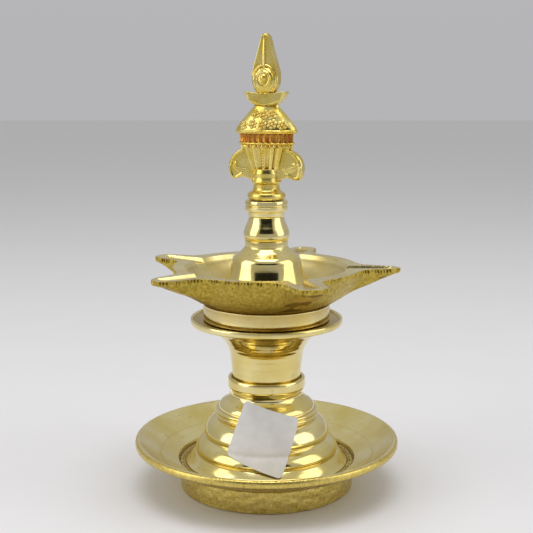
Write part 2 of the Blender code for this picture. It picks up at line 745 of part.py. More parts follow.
def main():
    clear_scene()
    parts = new_collection("standing_oil_lamp")
    cutters = new_collection("cutters")
    polished = new_material("polished_brass", (0.83, 0.63, 0.29), 1.0, 0.12)
    satin = new_material("satin_brass", (0.78, 0.55, 0.18), 1.0, 0.3)
    cast = new_material("cast_brass", (0.66, 0.46, 0.12), 1.0, 0.42)
    thread = new_material("thread_brass", (0.72, 0.54, 0.24), 1.0, 0.35)
    paper = new_material("label_paper", (0.9, 0.89, 0.87), 0.0, 0.7)

    base = make_base(parts, polished)
    make_label(base, parts, paper)
    lower_stud = make_stud(
        "lower_stud", LOWER_THREAD_RADIUS, LOWER_STUD_BELOW, LOWER_STUD_ABOVE,
        CUP_SEAT - SEAT_GAP / 2, base, parts, thread,
    )
    cup = make_cup(lower_stud, parts, polished)
    bowl_stud = make_stud(
        "bowl_stud", BOWL_THREAD_RADIUS, BOWL_STUD_BELOW, BOWL_STUD_ABOVE,
        BOWL_SEAT - SEAT_GAP / 2, cup, parts, thread,
    )
    bowl = make_bowl(bowl_stud, parts, cutters, cast)
    stem_stud = make_stud(
        "stem_stud", STEM_THREAD_RADIUS, STEM_STUD_BELOW, STEM_STUD_ABOVE,
        STEM_SEAT - SEAT_GAP / 2, bowl, parts, thread,
    )
    stem = make_stem(stem_stud, parts, polished)
    finial_stud = make_stud(
        "finial_stud", FINIAL_THREAD_RADIUS, FINIAL_STUD_BELOW, FINIAL_STUD_ABOVE,
        FINIAL_SEAT - SEAT_GAP / 2, stem, parts, thread,
    )
    make_finial(finial_stud, parts, cutters, satin)


main()
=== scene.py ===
import math

import bmesh
import bpy
import numpy as np
from mathutils import Matrix, Vector, noise


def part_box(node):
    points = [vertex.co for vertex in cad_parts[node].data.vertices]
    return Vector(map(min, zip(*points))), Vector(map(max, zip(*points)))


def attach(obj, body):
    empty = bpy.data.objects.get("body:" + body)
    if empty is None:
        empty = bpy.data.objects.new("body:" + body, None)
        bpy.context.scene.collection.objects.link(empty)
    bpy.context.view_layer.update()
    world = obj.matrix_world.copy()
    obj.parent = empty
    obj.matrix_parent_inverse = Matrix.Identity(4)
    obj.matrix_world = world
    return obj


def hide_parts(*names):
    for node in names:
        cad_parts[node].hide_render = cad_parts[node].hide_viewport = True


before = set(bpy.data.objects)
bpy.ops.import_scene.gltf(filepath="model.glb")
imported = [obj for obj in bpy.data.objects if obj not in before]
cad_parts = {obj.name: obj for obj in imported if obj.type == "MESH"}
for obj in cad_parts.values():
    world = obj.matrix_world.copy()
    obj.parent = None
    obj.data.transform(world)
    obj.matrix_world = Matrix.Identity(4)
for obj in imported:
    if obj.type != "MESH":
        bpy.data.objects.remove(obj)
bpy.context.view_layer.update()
mm = 0.001  # every size below is in millimetres
boxes = {node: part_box(node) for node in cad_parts}
seats = {node: low.z / mm for node, (low, high) in boxes.items()}  # the height each piece stands at
print("frame loaded:", len(boxes), "nodes")


# small tools for outlines and meshes

def between(start, end, share):
    return start + (end - start) * share


def flowing(points, pieces=5):
    # a smooth line through a few points of (radius, height)
    padded = [points[0], *points, points[-1]]
    line = []
    for i in range(1, len(padded) - 2):
        a, b, c, d = (Vector(point) for point in padded[i - 1:i + 3])
        for step in range(pieces):
            t = step / pieces
            bend = 2 * a - 5 * b + 4 * c - d
            twist = 3 * b - a - 3 * c + d
            line.append(tuple(0.5 * (2 * b + (c - a) * t + bend * t * t + twist * t ** 3)))
    line.append(tuple(points[-1]))
    return line


def eased(outline):
    # a corner with a third number is rounded by that much
    line = []
    steps, longest = 4, 0.45  # no rounding takes more than this share of a side
    for i, point in enumerate(outline):
        here = Vector(point[:2])
        if len(point) < 3:
            line.append(tuple(here))
            continue
        back = Vector(outline[i - 1][:2]) - here
        onward = Vector(outline[(i + 1) % len(outline)][:2]) - here
        start = here + back.normalized() * min(point[2], back.length * longest)
        end = here + onward.normalized() * min(point[2], onward.length * longest)
        for step in range(steps + 1):
            t = step / steps
            line.append(tuple(start * (1 - t) ** 2 + here * 2 * t * (1 - t) + end * t * t))
    return line


def turnedMesh(name, outline, steps, shape=None):
    # a closed outline, running down its outer side, carried round the lamp's axis
    mesh = bpy.data.meshes.new(name)
    verts = []
    for turn in range(steps):
        angle = math.tau * turn / steps
        for radius, height in outline:
            if shape:
                radius, height = shape(radius, height, angle)
            verts.append((radius * math.cos(angle) * mm, radius * math.sin(angle) * mm, height * mm))
    mesh.from_pydata(verts, [], loopFaces(steps, len(outline)))
    mesh.update()
    return mesh


def loopFaces(turns, count):
    faces = []
    for turn in range(turns):
        here, there = turn * count, (turn + 1) % turns * count
        for i in range(count):
            j = (i + 1) % count
            faces.append((here + i, here + j, there + j, there + i))
    return faces


def raisedBy(outline, height):
    return [(point[0], point[1] + height, *point[2:]) for point in outline]


def markHollows(mesh, size):
    # how far each point lies under its surroundings, which the brass finishes turn into painted shade in
    # hollows: 0.5 is level, 1 a hollow this deep, 0 an edge
    count = len(mesh.vertices)
    places = np.empty(count * 3)
    normals = np.empty(count * 3)
    ends = np.empty(len(mesh.edges) * 2, np.int64)
    mesh.vertices.foreach_get("co", places)
    mesh.vertices.foreach_get("normal", normals)
    mesh.edges.foreach_get("vertices", ends)
    places, normals, ends = places.reshape(-1, 3), normals.reshape(-1, 3), ends.reshape(-1, 2)
    one = np.concatenate((ends[:, 0], ends[:, 1]))
    other = np.concatenate((ends[:, 1], ends[:, 0]))
    around = np.maximum(np.bincount(one, minlength=count), 1)
    smooth = places.copy()
    for _ in range(size["hollowPasses"]):
        for axis in range(3):
            total = np.bincount(one, weights=smooth[other, axis], minlength=count)
            smooth[:, axis] = 0.5 * smooth[:, axis] + 0.5 * total / around
    shadedHollows = ((smooth - places) * normals).sum(1) / (size["hollowDepth"] * mm)
    attribute = mesh.attributes.new("hollow", "FLOAT", "POINT")
    attribute.data.foreach_set("value", np.clip(0.5 + 0.5 * shadedHollows, 0, 1).astype(np.float32))


def paintFaces(mesh, index, inside):
    # gives one of the piece's finishes to the faces whose middle passes the test of (radius, height)
    for face in mesh.polygons:
        middle = face.center / mm
        if inside(math.hypot(middle.x, middle.y), middle.z):
            face.material_index = index


def addObject(name, data):
    thing = bpy.data.objects.new(name, data)
    bpy.context.scene.collection.objects.link(thing)
    return thing


def settle(mesh, name, finishes, body, node, crease=32):
    # makes the mesh a finished piece that rides on a body and stands for a node
    work = bmesh.new()
    work.from_mesh(mesh)
    bmesh.ops.recalc_face_normals(work, faces=work.faces)
    work.to_mesh(mesh)
    work.free()
    mesh.shade_smooth()
    mesh.set_sharp_from_angle(angle=math.radians(crease))
    for finish in finishes:
        mesh.materials.append(finish)
    piece = addObject(name, mesh)
    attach(piece, body)
    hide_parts(node)
    print(name, "made:", len(mesh.polygons), "faces")


# finishes

def put(tree, socket, value):
    # a link where the value comes from another node, otherwise a plain number or colour
    if isinstance(value, bpy.types.NodeSocket):
        tree.links.new(value, socket)
    else:
        socket.default_value = value


def sums(tree, operation, *values):
    node = tree.nodes.new("ShaderNodeMath")
    node.operation = operation
    for socket, value in zip(node.inputs, values):
        put(tree, socket, value)
    return node.outputs[0]


def ramp(tree, value, low, high, start=0.0, end=1.0):
    node = tree.nodes.new("ShaderNodeMapRange")
    node.interpolation_type = "SMOOTHSTEP"
    limits = {"Value": value, "From Min": low, "From Max": high, "To Min": start, "To Max": end}
    for name, number in limits.items():
        put(tree, node.inputs[name], number)
    return node.outputs[0]


def blendColours(tree, share, first, second):
    node = tree.nodes.new("ShaderNodeMix")
    node.data_type = "RGBA"
    for index, value in ((0, share), (6, first), (7, second)):  # the sockets that mix colours
        put(tree, node.inputs[index], value)
    return node.outputs[2]


def speckle(tree, place, size, detail=3.0, rough=0.5):
    # noise with features of about this many millimetres
    node = tree.nodes.new("ShaderNodeTexNoise")
    put(tree, node.inputs["Vector"], place)
    node.inputs["Scale"].default_value = 1.0 / (size * mm)
    node.inputs["Detail"].default_value = detail
    node.inputs["Roughness"].default_value = rough
    return node.outputs[0]


def toolMarks(tree, place, pitch):
    # noise that changes only along the radius and the height, as a lathe tool leaves it
    split = tree.nodes.new("ShaderNodeSeparateXYZ")
    put(tree, split.inputs[0], place)
    across = sums(tree, "POWER", split.outputs[0], 2.0)
    deep = sums(tree, "POWER", split.outputs[1], 2.0)
    radius = sums(tree, "SQRT", sums(tree, "ADD", across, deep))
    join = tree.nodes.new("ShaderNodeCombineXYZ")
    put(tree, join.inputs[0], radius)
    put(tree, join.inputs[1], split.outputs[2])
    return speckle(tree, join.outputs[0], pitch, 4.0, 0.6)


def bumpOf(tree, height, strength, depth, under=None):
    node = tree.nodes.new("ShaderNodeBump")
    node.inputs["Strength"].default_value = strength
    node.inputs["Distance"].default_value = depth * mm
    put(tree, node.inputs["Height"], height)
    if under:
        put(tree, node.inputs["Normal"], under)
    return node.outputs[0]


def newFinish(name):
    # a new material with its tree, its shader and the place on the piece in metres
    material = bpy.data.materials.new(name)
    material.use_nodes = True
    tree = material.node_tree
    place = tree.nodes.new("ShaderNodeTexCoord").outputs["Object"]
    return material, tree, tree.nodes["Principled BSDF"], place


def brassFinish(name, look):
    material, tree, shader, place = newFinish(name)
    shader.inputs["Metallic"].default_value = 1.0
    shader.inputs["Anisotropic"].default_value = look["streak"]
    tangent = tree.nodes.new("ShaderNodeTangent")
    tangent.direction_type = "RADIAL"
    tangent.axis = "Z"
    tree.links.new(tangent.outputs[0], shader.inputs["Tangent"])
    hollow = tree.nodes.new("ShaderNodeAttribute")
    hollow.attribute_name = "hollow"
    # painted shade: the hollow mask marks where shade would fall, to darken the colour there and dull it
    shadedHollows = ramp(tree, hollow.outputs["Fac"], look["sunkFrom"], look["sunkAt"])
    clouds = speckle(tree, place, look["cloudSize"])
    grain = speckle(tree, place, look["grainSize"], 6.0, 0.62)
    marks = toolMarks(tree, place, look["markPitch"])
    spots = ramp(tree, speckle(tree, place, look["spotSize"], 2.0), *look["spotRange"])
    pale, deep, tarnishAndShade = ((*look[tone], 1) for tone in ("pale", "deep", "tarnishAndShade"))
    colour = blendColours(tree, ramp(tree, clouds, *look["cloudRange"]), pale, deep)
    streaks = sums(tree, "MULTIPLY", ramp(tree, marks, *look["markRange"]), look["markTint"])
    colour = blendColours(tree, streaks, colour, deep)
    tarnish = sums(tree, "MULTIPLY", sums(tree, "MULTIPLY", spots, grain), look["spotTint"])
    colour = blendColours(tree, tarnish, colour, tarnishAndShade)
    # painted shade: the marked hollows are pulled towards the darkest colour, as the shade that falls in
    # them
    colour = blendColours(tree, sums(tree, "MULTIPLY", shadedHollows, look["hollowShadeTint"]), colour, tarnishAndShade)
    put(tree, shader.inputs["Base Color"], colour)
    uneven = sums(tree, "ADD", sums(tree, "MULTIPLY", marks, 0.5), sums(tree, "MULTIPLY", grain, 0.5))
    dull = ramp(tree, uneven, *look["unevenRange"], look["smooth"], look["rough"])
    sunkDull = sums(tree, "MULTIPLY", shadedHollows, look["sunkDull"])
    put(tree, shader.inputs["Roughness"], sums(tree, "ADD", dull, sunkDull))
    lines = bumpOf(tree, marks, look["markStrength"], look["markDepth"])
    relief = bumpOf(tree, grain, look["grainStrength"], look["grainDepth"], lines)
    put(tree, shader.inputs["Normal"], relief)
    return material


# sizes, pitches and depths in millimetres; the tints say how far each effect pulls the colour;
# sunkFrom and sunkAt are the marked hollows where the painted shade and the dulling start and are full; the
# darkest colour serves both the real tarnish spots and the painted shade in hollows
polishedLook = {
    "pale": (0.84, 0.74, 0.38), "deep": (0.76, 0.62, 0.22), "tarnishAndShade": (0.38, 0.22, 0.04),
    "cloudSize": 16.0, "grainSize": 2.5, "markPitch": 0.9, "spotSize": 3.0,
    "cloudRange": (0.35, 0.65), "markRange": (0.42, 0.62), "spotRange": (0.66, 0.74),
    "markTint": 0.35, "spotTint": 0.5, "hollowShadeTint": 0.55, "sunkFrom": 0.53, "sunkAt": 0.75,
    "smooth": 0.09, "rough": 0.17, "unevenRange": (0.3, 0.7), "sunkDull": 0.15, "streak": 0.45,
    "markStrength": 0.25, "markDepth": 0.02, "grainStrength": 0.1, "grainDepth": 0.02,
}
satinLook = {
    **polishedLook,
    "pale": (0.80, 0.67, 0.24), "deep": (0.70, 0.53, 0.10), "tarnishAndShade": (0.36, 0.15, 0.015),
    "cloudSize": 7.0, "grainSize": 0.8, "hollowShadeTint": 0.95, "sunkAt": 0.72,
    "smooth": 0.18, "rough": 0.32, "streak": 0.0,
    "markStrength": 0.0, "grainStrength": 0.2, "grainDepth": 0.04,
}
bandLook = {
    **satinLook,
    "pale": (0.62, 0.34, 0.06), "deep": (0.45, 0.18, 0.03), "tarnishAndShade": (0.20, 0.05, 0.01),
}
castLook = {
    **polishedLook,
    "pale": (0.66, 0.52, 0.11), "deep": (0.45, 0.33, 0.05), "tarnishAndShade": (0.20, 0.11, 0.01),
    "cloudSize": 1.3, "grainSize": 0.7, "spotTint": 0.8, "hollowShadeTint": 0.9, "sunkAt": 0.68,
    "smooth": 0.26, "rough": 0.44, "streak": 0.0,
    "markStrength": 0.0, "grainStrength": 1.0, "grainDepth": 0.45,
}
turnedLook = {
    **polishedLook, "pale": (0.82, 0.72, 0.36), "deep": (0.72, 0.59, 0.22),
    "smooth": 0.20, "rough": 0.32, "streak": 0.6, "markPitch": 0.6,
    "markStrength": 0.5, "markDepth": 0.04,
}
footLook = {
    **castLook, "pale": (0.74, 0.60, 0.20), "deep": (0.60, 0.45, 0.10), "grainSize": 0.8,
    "smooth": 0.20, "rough": 0.36, "markStrength": 0.4, "markDepth": 0.05, "grainDepth": 0.1,
}
threadLook = {
    **turnedLook, "pale": (0.76, 0.64, 0.28), "deep": (0.62, 0.49, 0.17), "hollowShadeTint": 0.8,
}

polishedBrass = brassFinish("polishedBrass", polishedLook)
satinBrass = brassFinish("satinBrass", satinLook)
bandBrass = brassFinish("bandBrass", bandLook)
castBrass = brassFinish("castBrass", castLook)
turnedBrass = brassFinish("turnedBrass", turnedLook)
footBrass = brassFinish("footBrass", footLook)
threadBrass = brassFinish("threadBrass", threadLook)
print("brass finishes made")


# the base: foot ring, dish, stepped cone and collar in one casting

baseSizes = {
    "rim": 56.15, "rimTop": 21.1, "lipGroove": 54.0, "floorEdge": 38.0, "floor": 12.35,
    "coneFoot": 34.6, "grooveFloor": 10.7, "grooveTop": 11.2, "crease": 45.4, "creaseStep": 0.22,
    "seat": 45.2, "recess": 14.8, "collar": 16.4, "top": 47.5, "bore": 5.3,
    "foot": 36.8, "footTop": 10.0, "footInside": 33.8, "boss": 9.5, "bossTop": 33.9, "bossEnd": 31.0,
    "under": 10.3, "underRise": 7.5, "underEdge": 54.6,
    "sandLump": 0.2, "sandGrain": 0.08, "grooveLump": 0.18, "rimWear": 0.12,
    "steps": 288, "hollowDepth": 0.35, "hollowPasses": 12,
}


def dishCurve(share):
    # the dish's rise from its floor's edge to its lip, as a share of the whole
    return 0.45 * share + 0.55 * share ** 2.2


def dishHeight(radius):
    # the dish's hollow curve, with a faint step at its crease that fades to the rim
    size = baseSizes
    share = (radius - size["floorEdge"]) / (size["lipGroove"] - size["floorEdge"])
    rise = (size["rimTop"] - size["floor"]) * dishCurve(share)
    past = max(0.0, radius - size["crease"])
    return size["floor"] + rise + size["creaseStep"] * min(1.0, past / 0.5) * (1 - past / 9)


def baseOutline():
    size = baseSizes
    rim, top, foot, lip = size["rim"], size["rimTop"], size["foot"], size["lipGroove"]
    points = [(size["bore"], size["seat"], 0.4), (size["recess"], size["seat"], 0.2)]
    points += flowing([(size["recess"], 46.4), (15.0, 47.2), (15.6, size["top"]), (16.2, 47.2),
                       (16.45, 46.3)])
    points += [(size["collar"], 45.4), (size["collar"], 43.6, 0.3)]
    # the cone's steps, with two beads under the first
    points += flowing([(16.25, 43.1), (15.5, 41.7), (15.2, 40.4), (15.6, 39.4), (17.0, 38.0), (19.1, 36.6),
                       (20.2, 35.3), (20.45, 34.2)])
    points += flowing([(20.7, 33.9), (21.6, 33.7), (21.9, 33.1), (21.55, 32.35)], 4)
    points += flowing([(21.45, 32.2), (21.95, 31.8), (21.9, 31.1), (21.15, 30.4)], 4)
    points += flowing([(21.2, 30.2), (22.8, 29.4), (24.3, 28.3), (25.5, 26.8), (26.4, 24.9), (26.65, 23.5),
                       (26.3, 22.2), (25.85, 21.65)])
    points += flowing([(26.0, 21.4), (26.9, 20.8), (28.5, 19.7), (29.8, 18.1), (30.4, 16.7), (30.3, 15.9),
                       (30.0, 15.4)])
    points += [(29.9, 15.2, 0.1), (30.5, 15.1, 0.1)]
    points += flowing([(30.8, 14.9), (32.0, 13.6), (33.3, 12.1), (size["coneFoot"], 10.95)], 4)
    # the rough groove round the cone, then the dish and its rim
    points += [(34.85, size["grooveFloor"]), (35.3, 10.9), (35.7, 10.65), (36.4, 10.75), (37.0, 10.65)]
    points += [(37.5, 10.9, 0.2), (37.75, 12.2, 0.2)]
    for step in range(41):
        radius = between(size["floorEdge"], lip - 0.2, step / 40)
        points.append((radius, dishHeight(radius)))
    points += [(lip, top - 0.35, 0.1), (lip + 0.25, top - 0.1, 0.1)]
    points += flowing([(54.5, top), (55.2, top), (55.8, top - 0.35), (rim, top - 1.2), (rim, top - 2.1),
                       (55.75, top - 2.9), (54.8, top - 3.25)], 4)
    # the underside, the foot ring in rows half a millimetre apart, and the hollow inside
    for step in range(1, 17):
        share = 1 - step / 16
        under = size["under"] + size["underRise"] * dishCurve(share)
        points.append((between(foot, size["underEdge"], share), under))
    points += [(foot, height / 2) for height in range(19, 0, -1)]
    points += [(foot, 0.0, 0.3), (size["footInside"], 0.0, 0.4), (size["footInside"], 8.0, 0.6)]
    points += flowing([(31.0, 9.8), (28.0, 13.6), (23.6, 19.0), (22.4, 25.0), (18.4, 30.4),
                       (15.6, size["bossTop"])], 4)
    points += [(size["boss"], size["bossTop"], 0.5), (size["boss"], size["bossEnd"], 0.3),
               (size["bore"], size["bossEnd"], 0.3)]
    return eased(points)


def baseShape(radius, height, angle):
    # the foot ring and the groove's floor keep the unevenness of the sand they were cast in
    size = baseSizes
    place = Vector((radius * math.cos(angle), radius * math.sin(angle), height))
    if height < size["footTop"] and radius > 30:
        fade = min(1.0, (size["footTop"] - height) / 3)
        lump, grain = size["sandLump"], size["sandGrain"]
        radius += fade * (lump * noise.noise(place * 0.35) + grain * noise.noise(place * 1.1))
        if height < 1.0:
            height = max(0.0, height + lump * noise.noise(place * 0.25))
    elif height < size["grooveTop"] and radius > 34.8:
        height += size["grooveLump"] * noise.noise(place * 0.9)
    elif 16.5 < height < 20.5 and radius > size["lipGroove"]:
        radius -= size["rimWear"] * abs(noise.noise(place * 0.5))
    return radius, height


def roughCast(radius, height):
    # where the base keeps its cast skin: the foot, the groove's floor and the dish's underside
    size = baseSizes
    if height < 17.8 and (radius > size["lipGroove"] or height < 10.2):
        return True
    if height < 11.1 and 34.7 < radius < 37.6:
        return True
    return radius > size["foot"] and height < dishHeight(max(radius, size["floorEdge"])) - 1.2


baseMesh = turnedMesh("dish_base", baseOutline(), baseSizes["steps"], baseShape)
markHollows(baseMesh, baseSizes)
paintFaces(baseMesh, 1, roughCast)
settle(baseMesh, "dish_base", [polishedBrass, footBrass], "base", "base")


# the cup, with the drip plate round its top

cupSizes = {
    "foot": 14.5, "plate": 32.05, "floor": 26.7, "lip": 27.55, "edge": 2.4, "bore": 5.3,
    "ridge": 0.05, "ridgeFrom": 2.5, "ridgeTo": 24, "steps": 224, "hollowDepth": 0.3, "hollowPasses": 10,
}


def cupOutline():
    size = cupSizes
    plate, lip, floor = size["plate"], size["lip"], size["floor"]
    points = [(size["bore"], floor, 0.3), (30.6, floor, 0.3), (31.1, lip, 0.25), (31.8, lip, 0.2)]
    points += flowing([(31.95, lip - 0.2), (plate, lip - 0.7), (plate, lip - 1.7),
                       (31.7, lip - size["edge"])], 4)
    points += flowing([(31.2, lip - 2.5), (28.5, 24.55), (25.2, 23.6), (21.9, 21.8), (19.2, 19.4),
                       (17.6, 17.3), (16.4, 15.1), (15.6, 12.9), (15.3, 10.7), (15.0, 8.5), (14.8, 6.4),
                       (14.6, 4.2), (14.4, 2.2)], 8)
    points += flowing([(14.25, 1.45), (size["foot"], 1.1), (size["foot"], 0.35), (14.3, 0.0)], 4)
    points += [(size["bore"], 0.0, 0.4)]
    return raisedBy(eased(points), seats["cup_stem"])


def cupShape(radius, height, angle):
    # shallow ridges left by the turning tool below the plate
    above = height - seats["cup_stem"]
    if cupSizes["ridgeFrom"] < above < cupSizes["ridgeTo"] and radius > 10:
        radius += cupSizes["ridge"] * math.sin(above * 2.9) * math.sin(above * 0.7)
    return radius, height


cupMesh = turnedMesh("drip_cup", cupOutline(), cupSizes["steps"], cupShape)
markHollows(cupMesh, cupSizes)
settle(cupMesh, "drip_cup", [polishedBrass], "cup_stem", "cup_stem")


# the wick bowl with its five beaks

bowlSizes = {
    "height": 22.2, "mouth": 34.2, "floor": 14.2, "footBand": 26.7, "coveTop": 7.7, "cove": 25.8,
    "rimThick": 2.0, "boreLow": 5.3, "boreHigh": 4.3, "boreStep": 7.75, "boss": 9.3,
    "spacing": 0.27, "toothPitch": 1.3, "toothDepth": 0.6, "topSteps": 18, "smoothing": 6,
    "channelHalf": 3.35, "channelDepth": 1.9, "channelStart": 29, "channelEnd": 52.4,
    "sandLump": 0.2, "beakLump": 0.5, "sandGrain": 0.1, "dent": 0.07,
    "hollowDepth": 0.25, "hollowPasses": 14,
}
# half is a beak's half width, blunt how square its tip is, flare how much wider its root is,
# and valley the rim's radius after it
beaks = [
    {"angle": -4.0, "reach": 56.0, "half": 5.4, "blunt": 3.0, "flare": 7.8, "valley": 39.4},
    {"angle": 70.0, "reach": 56.0, "half": 6.3, "blunt": 6.0, "flare": 7.0, "valley": 41.0},
    {"angle": 150.0, "reach": 56.0, "half": 6.3, "blunt": 6.0, "flare": 7.0, "valley": 39.4},
    {"angle": 218.0, "reach": 56.0, "half": 6.2, "blunt": 5.0, "flare": 7.0, "valley": 38.0},
    {"angle": 289.5, "reach": 55.9, "half": 7.3, "blunt": 9.0, "flare": 6.4, "valley": 40.2},
]


def beakSide(beak, valley):
    # one flank seen from above, from the rim to the tip: (angle off the beak's middle, radius)
    halfFoot = beak["half"] + beak["flare"]
    start = math.sqrt(valley ** 2 - halfFoot ** 2)
    side = []
    for step in range(61):
        share = 1 - (1 - step / 60) ** 2
        off = beak["half"] * (1 - share ** beak["blunt"]) ** 0.5
        off += beak["flare"] * math.exp(-6 * share) * (1 - share)
        along = between(start, beak["reach"], share)
        side.append((math.atan2(off, along), math.hypot(along, off)))
    return side


def rimOutline():
    # the bowl's edge seen from above, as points evenly spaced, and how far round each one lies
    corners = []
    for i, beak in enumerate(beaks):
        middle = math.radians(beak["angle"])
        following = beaks[(i + 1) % len(beaks)]
        for off, radius in beakSide(beak, beaks[i - 1]["valley"]):
            corners.append((middle - off, radius))
        for off, radius in reversed(beakSide(beak, beak["valley"])):
            corners.append((middle + off, radius))
        end = math.radians(following["angle"] + (360 if i == len(beaks) - 1 else 0))
        end -= beakSide(following, beak["valley"])[0][0]
        start = corners[-1][0]
        for step in range(1, 12):
            corners.append((between(start, end, step / 12), beak["valley"]))
    turns = np.array(corners)
    edge = np.stack((turns[:, 1] * np.cos(turns[:, 0]), turns[:, 1] * np.sin(turns[:, 0])), 1)
    edge = np.vstack((edge, edge[:1]))
    gone = np.concatenate(([0.0], np.cumsum(np.hypot(*np.diff(edge, axis=0).T))))
    count = round(gone[-1] / bowlSizes["spacing"])
    spots = np.arange(count) * gone[-1] / count
    even = np.stack((np.interp(spots, gone, edge[:, 0]), np.interp(spots, gone, edge[:, 1])), 1)
    for _ in range(bowlSizes["smoothing"]):
        even = (np.roll(even, 1, 0) + 2 * even + np.roll(even, -1, 0)) / 4
    return even, spots


def channelFloor(x, y):
    # the height of the wick channels' floors above the bowl's foot
    size = bowlSizes
    floor = size["height"]
    for beak in beaks:
        middle = math.radians(beak["angle"])
        along = x * math.cos(middle) + y * math.sin(middle)
        off = -x * math.sin(middle) + y * math.cos(middle)
        half = size["channelHalf"] * min(1.0, beak["half"] / 6.0)
        if size["channelStart"] < along < size["channelEnd"] and abs(off) < half:
            end = min(1.0, (size["channelEnd"] - along) / 2.2)
            slope = between(1.0, 0.72, (along - 34) / 18)
            rounded = min(1.0, 1.7 * math.sqrt(1 - (off / half) ** 2)) * math.sqrt(end)
            floor = min(floor, size["height"] - size["channelDepth"] * slope * rounded)
    return floor


def bowlSection(reach):
    # fixed rows from the bore up the inside, then rows for the top, the edge and the underside
    size = bowlSizes
    boreHigh, boreLow, boreStep = size["boreHigh"], size["boreLow"], size["boreStep"]
    floor, band, boss = size["floor"], size["footBand"], size["boss"]
    inside = [(boreHigh, floor), (9.0, floor), (14.5, 14.22), (19.2, 14.25)]
    inside += flowing([(20.0, 14.32), (22.8, 14.55), (25.6, 15.1), (28.2, 16.1), (30.6, 17.6), (32.7, 19.6),
                       (33.9, 21.5)], 4)
    cove, coveTop, rimLow = size["cove"], size["coveTop"], size["height"] - size["rimThick"]
    # share of the way out, and share of the way up for the round rim and for a beak's keel
    keel = [(0.0, 0.0, 0.0), (0.25, 0.06, 0.26), (0.41, 0.16, 0.47), (0.57, 0.33, 0.60), (0.74, 0.56, 0.76),
            (0.86, 0.76, 0.90), (0.95, 0.92, 0.97)]
    under = [(out, between(coveTop, rimLow, between(plain, beak, reach))) for out, plain, beak in keel]
    foot = [(cove, 7.25), (26.05, 6.95, 0.1), (26.75, 6.75, 0.12), (band, 6.3), (26.62, 3.0),
            (band, 0.4, 0.1), (26.5, 0.0, 0.2), (24.1, 0.0, 0.3), (24.1, 8.6, 0.4), (21.5, 11.4, 0.4),
            (boss, 11.4, 0.4), (boss, 0.0, 0.3), (boreLow, 0.0, 0.3), (boreLow, boreStep),
            (boreHigh, boreStep)]
    return inside, under, eased(foot)


# down from the top, in from the edge, and how much of a tooth's bite a row takes
edgeRows = [(0.0, 0.34, 0.0), (0.1, 0.1, 0.35), (0.45, 0.0, 0.9), (1.0, 0.02, 1.0), (1.5, 0.1, 0.6),
            (1.9, 0.28, 0.15)]


def makeBowlMesh():
    size = bowlSizes
    edge, spots = rimOutline()
    ahead = np.roll(edge, -1, 0) - np.roll(edge, 1, 0)
    outward = np.stack((ahead[:, 1], -ahead[:, 0]), 1) / np.hypot(*ahead.T)[:, None]
    seat, topSteps = seats["wick_bowl"], size["topSteps"]
    toothCount = round(spots[-1] / size["toothPitch"])
    length = spots[-1] + size["spacing"]
    verts = []
    for i, (x, y) in enumerate(edge):
        radius, angle = math.hypot(x, y), math.atan2(y, x)
        reach = min(1.0, max(0.0, (radius - 39.0) / 17.0))
        inside, under, foot = bowlSection(reach)
        turn = Vector((math.cos(angle), math.sin(angle)))
        wander = 0.5 + noise.noise(Vector((x, y, 0)) * 0.35)
        drift = 1.6 * noise.noise(Vector((x, y, 7)) * 0.16)
        tooth = 0.5 - 0.5 * math.cos(math.tau * toothCount * spots[i] / length + drift)
        bite = size["toothDepth"] * tooth * (0.15 + 1.5 * wander)
        rows = [(turn * r, h, "inside") for r, h in inside]
        for step in range(topSteps + 1):
            share = step / topSteps
            out = between(size["mouth"] + 0.1, radius - 0.5, share)
            dent = size["dent"] * noise.noise(Vector((turn.x * out, turn.y * out, 3)) * 0.3)
            rows.append((turn * out, size["height"] - 0.02 + min(dent, 0.0), "top"))
        for down, inward, share in edgeRows:
            spot = Vector((x, y)) - Vector(outward[i]) * (inward + bite * share)
            rows.append((spot, size["height"] - down, "edge"))
        for out, height in reversed(under):
            out = between(size["cove"], radius - 0.45, out)
            spot = turn * out
            place = Vector((spot.x, spot.y, height))
            lump = size["sandLump"] + size["beakLump"] * reach
            rough = size["sandLump"] * noise.noise(place * 0.9) + lump * noise.noise(place * 0.25)
            rough += size["sandGrain"] * noise.noise(place * 2.2)
            rows.append((turn * (out + rough * min(1.0, (out - size["cove"]) / 2)), height, "under"))
        rows += [(turn * r, h, "foot") for r, h in foot]
        for spot, height, tag in rows:
            if tag in ("inside", "top"):
                height = min(height, channelFloor(spot.x, spot.y))
            verts.append((spot.x * mm, spot.y * mm, (height + seat) * mm))
        tags = [tag for _, _, tag in rows]
    mesh = bpy.data.meshes.new("beaked_bowl")
    mesh.from_pydata(verts, [], loopFaces(len(edge), len(tags)))
    mesh.update()
    finishOf = {"inside": 1, "top": 1, "edge": 0, "under": 0, "foot": 2}  # 0 cast, 1 turned, 2 polished
    for face in mesh.polygons:
        face.material_index = finishOf[tags[face.index % len(tags)]]
    return mesh


bowlMesh = makeBowlMesh()
markHollows(bowlMesh, bowlSizes)
bowlFinishes = [castBrass, turnedBrass, polishedBrass]
settle(bowlMesh, "beaked_bowl", bowlFinishes, "wick_bowl", "wick_bowl")


# the upper stem: bell, ring, bulb, neck and collar

stemSizes = {
    "bell": 18.9, "top": 35.5, "boreLow": 4.3, "boreHigh": 3.3, "boreStep": 9.8, "boss": 7.7,
    "collar": 8.85, "collarGroove": 33.3, "grooveHalf": 0.35, "grooveDepth": 0.45,
    "steps": 192, "hollowDepth": 0.25, "hollowPasses": 10,
}


